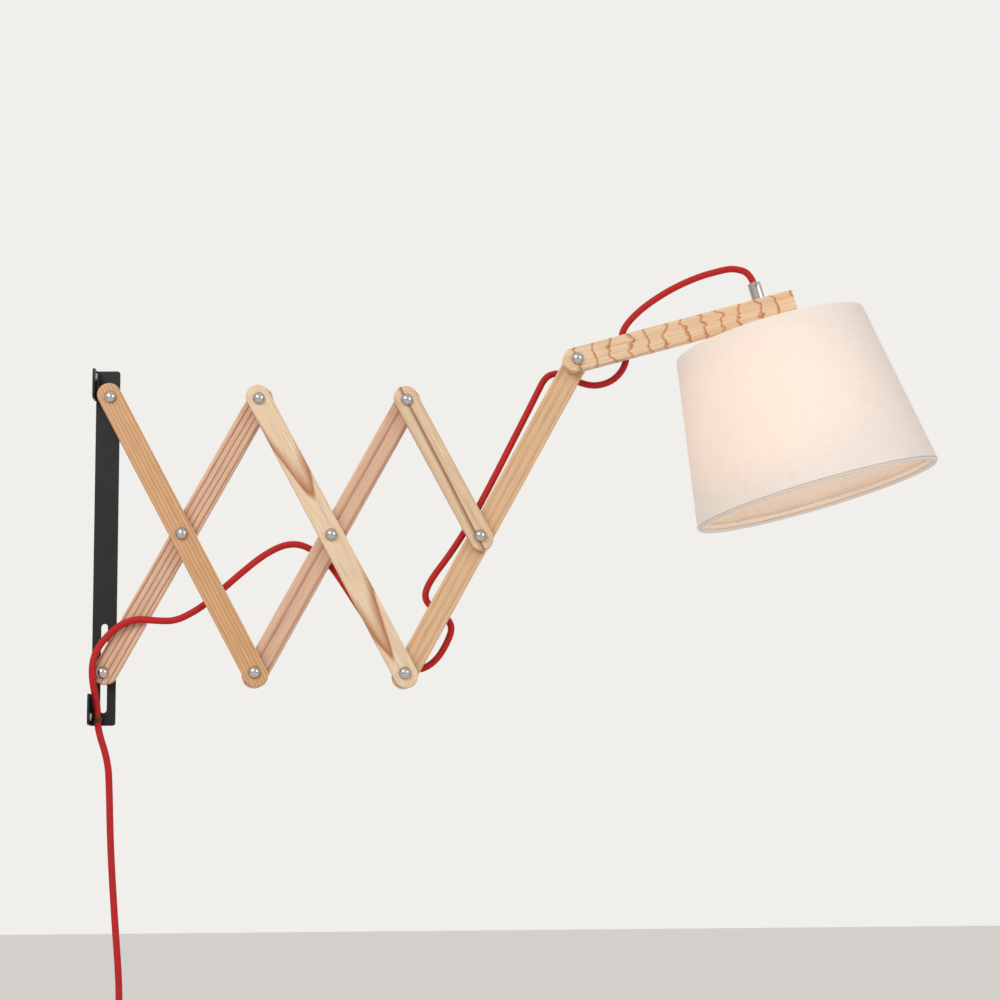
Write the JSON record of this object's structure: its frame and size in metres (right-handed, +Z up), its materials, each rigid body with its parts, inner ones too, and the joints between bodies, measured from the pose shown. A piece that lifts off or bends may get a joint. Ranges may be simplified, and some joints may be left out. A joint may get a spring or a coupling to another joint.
{
  "type": "accordion wall lamp",
  "caption": "Wall lamp on a folding wooden scissor linkage with a slotted bracket, a hinged arm, a tapered fabric shade and a textile cord.",
  "frame": {"origin": "on the wall, midway between the bracket's two wall screw holes", "axes": "+X straight out from the wall, +Z up, the capped front of the linkage faces -Y"},
  "size_m": [0.7465, 0.22, 0.8447],
  "materials": {
    "black_steel": "satin powder coat",
    "wood": "clear lacquer",
    "chrome": "polished",
    "steel": "zinc plated",
    "black_nylon": "moulded",
    "red_braid": "braided textile",
    "black_plastic": "moulded",
    "white_plastic": "moulded",
    "brass": "plated",
    "shade_linen": "linen laminate",
    "white_wire": "white enamel",
    "opal_glass": "opal"
  },
  "bodies": {
    "bracket": {"wall_bracket": "black_steel", "cord_tie": "black_nylon", "cord_hanging": "red_braid", "cord_coil": "red_braid", "coil_ties": "black_nylon", "plug_lead": "red_braid", "plug_body": "black_plastic", "plug_pins": "brass"},
    "front_link_1": {"front_link_1": "wood", "posts_1": "steel", "caps_1": "chrome", "washers_1": "steel", "bracket_post": "steel", "bracket_sleeve": "steel", "cord_to_link_1": "red_braid"},
    "rear_link_1": {"rear_link_1": "wood", "slot_pin": "steel", "slot_cap": "chrome", "slot_washer": "steel"},
    "rear_link_2": {"rear_link_2": "wood", "cord_to_link_2": "red_braid"},
    "front_link_2": {"front_link_2": "wood", "posts_2": "steel", "caps_2": "chrome", "washers_2": "steel", "cord_past_crossing": "red_braid"},
    "rear_link_3": {"rear_link_3": "wood", "cord_to_link_3": "red_braid", "cord_along_link_3": "red_braid"},
    "front_link_3": {"front_link_3": "wood", "posts_3": "steel", "caps_3": "chrome", "washers_3": "steel"},
    "lamp_arm": {"lamp_arm": "wood", "elbow_post": "steel", "elbow_cap": "chrome", "elbow_washer": "steel", "cord_to_lamp": "red_braid", "cord_grip": "chrome", "grip_screw": "steel", "threaded_tube": "steel", "arm_washer": "steel", "arm_nut": "steel", "holder_cap": "white_plastic", "holder_body": "white_plastic", "shade_ring": "white_plastic", "bulb_contact": "brass", "bulb_cap": "brass", "bulb_glass": "opal_glass", "shade_skin": "shade_linen", "shade_top_frame": "white_wire", "shade_bottom_ring": "white_wire"}
  },
  "joints": [
    {"name": "bracket_pivot", "type": "hinge", "parent": "bracket", "child": "front_link_1", "pos_m": [0.0163, 0, 0.13], "axis": [0, 1, 0], "range_deg": [-14, 15], "deforming": ["cord_to_link_1"]},
    {"name": "crossing_1", "type": "hinge", "parent": "front_link_1", "child": "rear_link_1", "pos_m": [0.0803, 0, 0.0083], "axis": [0, 1, 0], "range_deg": [-31, 31]},
    {"name": "lower_pivot_1", "type": "hinge", "parent": "front_link_1", "child": "rear_link_2", "pos_m": [0.1443, 0, -0.11339], "axis": [0, 1, 0], "range_deg": [-31, 31], "deforming": ["cord_to_link_2"]},
    {"name": "crossing_2", "type": "hinge", "parent": "rear_link_2", "child": "front_link_2", "pos_m": [0.21088, 0, 0.00691], "axis": [0, 1, 0], "range_deg": [-31, 31], "deforming": ["cord_past_crossing"]},
    {"name": "lower_pivot_2", "type": "hinge", "parent": "front_link_2", "child": "rear_link_3", "pos_m": [0.27488, 0, -0.11478], "axis": [0, 1, 0], "range_deg": [-31, 31], "deforming": ["cord_to_link_3"]},
    {"name": "upper_pivot_2", "type": "hinge", "parent": "rear_link_2", "child": "front_link_3", "pos_m": [0.27746, 0, 0.12722], "axis": [0, 1, 0], "range_deg": [-31, 31]},
    {"name": "elbow", "type": "hinge", "parent": "rear_link_3", "child": "lamp_arm", "pos_m": [0.42885, 0, 0.16345], "axis": [0, 1, 0], "range_deg": [-45, 50], "deforming": ["cord_to_lamp"]}
  ],
  "couplings": [
    {"joint": "crossing_1", "follows": "bracket_pivot", "ratio": -2},
    {"joint": "lower_pivot_1", "follows": "bracket_pivot", "ratio": -2},
    {"joint": "crossing_2", "follows": "bracket_pivot", "ratio": 2},
    {"joint": "lower_pivot_2", "follows": "bracket_pivot", "ratio": -2},
    {"joint": "upper_pivot_2", "follows": "bracket_pivot", "ratio": 2}
  ]
}
